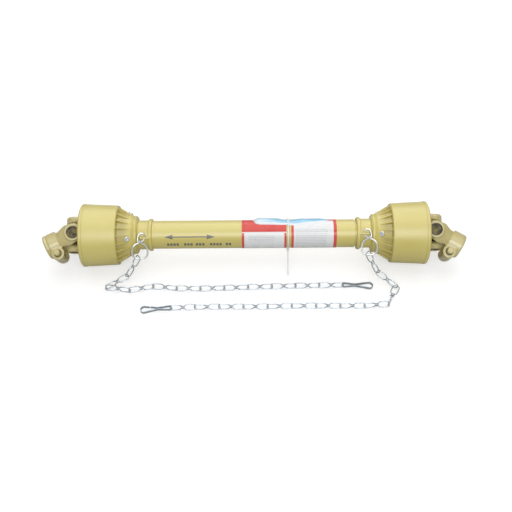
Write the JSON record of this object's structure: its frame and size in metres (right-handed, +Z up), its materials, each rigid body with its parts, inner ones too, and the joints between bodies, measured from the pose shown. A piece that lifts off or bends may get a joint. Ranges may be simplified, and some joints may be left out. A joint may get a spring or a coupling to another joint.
{
  "type": "pto drive shaft",
  "caption": "Telescoping power take-off drive shaft with a cross joint and splined yoke at each end, plastic guards with bell mouths, and guard chains laid on the ground.",
  "frame": {"origin": "middle of the footprint on the ground, under the middle of the shaft and its chains", "axes": "+X along the shaft from the tractor end to the implement end, +Y to the back, +Z up"},
  "size_m": [0.8182, 0.2058, 0.1213],
  "materials": {
    "guard_yellow": "satin, moulded",
    "tube_yellow": "satin, extruded",
    "yoke_paint": "satin over forged steel",
    "zinc": "bright zinc plated",
    "dark_steel": "oiled, dark",
    "spring_steel": "blued",
    "bare_steel": "machined",
    "brass": "plain",
    "seal_rubber": "matt",
    "nylon": "natural white",
    "label_paper": "printed film, plain fields of red and white",
    "leaflet_paper": "printed paper in plain blue and white fields"
  },
  "bodies": {
    "drive_shaft": {"outer_drive_tube": "bare_steel", "tractor_tube_yoke": "yoke_paint", "tractor_tube_yoke_cups": "bare_steel", "tractor_tube_yoke_circlips": "dark_steel", "tractor_roll_pin": "dark_steel"},
    "slide_shaft": {"inner_drive_tube": "bare_steel", "implement_tube_yoke": "yoke_paint", "implement_tube_yoke_cups": "bare_steel", "implement_tube_yoke_circlips": "dark_steel", "implement_roll_pin": "dark_steel"},
    "tractor_guard": {"tractor_guard_cone": "guard_yellow", "tractor_guard_collar": "guard_yellow", "tractor_cone_screws": "zinc", "tractor_bearing_ring": "nylon", "outer_guard_tube": "tube_yellow", "first_label": "label_paper", "second_label": "label_paper", "leaflet": "leaflet_paper", "cable_tie": "nylon"},
    "implement_guard": {"implement_guard_cone": "guard_yellow", "implement_guard_collar": "guard_yellow", "implement_cone_screws": "zinc", "implement_bearing_ring": "nylon", "inner_guard_tube": "tube_yellow"},
    "tractor_chain_set": {"tractor_chain_hook": "zinc", "tractor_chain": "zinc", "tractor_snap_hook": "spring_steel"},
    "tractor_cross_body": {"tractor_cross": "dark_steel", "tractor_cross_seals": "seal_rubber", "tractor_grease_nipple": "brass"},
    "tractor_end_yoke_body": {"tractor_end_yoke": "yoke_paint", "tractor_end_yoke_cups": "bare_steel", "tractor_end_yoke_circlips": "dark_steel", "tractor_pin_clip": "dark_steel", "tractor_pin_spring": "spring_steel"},
    "tractor_push_pin_body": {"tractor_push_pin": "zinc"},
    "implement_chain_set": {"implement_chain_hook": "zinc", "implement_chain": "zinc", "implement_snap_hook": "spring_steel"},
    "implement_cross_body": {"implement_cross": "dark_steel", "implement_cross_seals": "seal_rubber", "implement_grease_nipple": "brass"},
    "implement_end_yoke_body": {"implement_end_yoke": "yoke_paint", "implement_end_yoke_cups": "bare_steel", "implement_end_yoke_circlips": "dark_steel", "implement_pin_clip": "dark_steel", "implement_pin_spring": "spring_steel"},
    "implement_push_pin_body": {"implement_push_pin": "zinc"}
  },
  "joints": [
    {"name": "shaft_slide", "type": "slide", "parent": "drive_shaft", "child": "slide_shaft", "axis": [1, 0, 0], "range_m": [0, 0.25]},
    {"name": "tractor_guard_turn", "type": "hinge", "parent": "drive_shaft", "child": "tractor_guard", "pos_m": [-0.34465, 0.04226, 0.06068], "axis": [1, 0, 0], "continuous": true},
    {"name": "tractor_chain_swing", "type": "hinge", "parent": "tractor_guard", "child": "tractor_chain_set", "pos_m": [-0.20815, 0.01505, 0.08156], "axis": [-1, 0, 0], "range_deg": [0, 20]},
    {"name": "tractor_cross_turn", "type": "hinge", "parent": "drive_shaft", "child": "tractor_cross_body", "pos_m": [-0.34465, 0.04226, 0.06068], "axis": [0, 0.8572, 0.515], "range_deg": [-35, 35]},
    {"name": "tractor_yoke_turn", "type": "hinge", "parent": "tractor_cross_body", "child": "tractor_end_yoke_body", "pos_m": [-0.34465, 0.04226, 0.06068], "axis": [0, -0.515, 0.8572], "range_deg": [-59, 11]},
    {"name": "tractor_pin_push", "type": "slide", "parent": "tractor_end_yoke_body", "child": "tractor_push_pin_body", "axis": [0, 0.515, -0.8572], "range_m": [0, 0.01], "stiffness_N_per_m": 250, "springref_m": -0.003, "deforming": ["tractor_pin_spring"]},
    {"name": "implement_guard_turn", "type": "hinge", "parent": "slide_shaft", "child": "implement_guard", "pos_m": [0.34535, 0.04226, 0.06068], "axis": [1, 0, 0], "continuous": true},
    {"name": "implement_chain_swing", "type": "hinge", "parent": "implement_guard", "child": "implement_chain_set", "pos_m": [0.20885, 0.01844, 0.08536], "axis": [-1, 0, 0], "range_deg": [0, 20]},
    {"name": "implement_cross_turn", "type": "hinge", "parent": "slide_shaft", "child": "implement_cross_body", "pos_m": [0.34535, 0.04226, 0.06068], "axis": [0, 0.8572, 0.515], "range_deg": [-35, 35]},
    {"name": "implement_yoke_turn", "type": "hinge", "parent": "implement_cross_body", "child": "implement_end_yoke_body", "pos_m": [0.34535, 0.04226, 0.06068], "axis": [0, -0.515, 0.8572], "range_deg": [-6, 64]},
    {"name": "implement_pin_push", "type": "slide", "parent": "implement_end_yoke_body", "child": "implement_push_pin_body", "axis": [0, 0.515, -0.8572], "range_m": [0, 0.01], "stiffness_N_per_m": 250, "springref_m": -0.003, "deforming": ["implement_pin_spring"]}
  ]
}
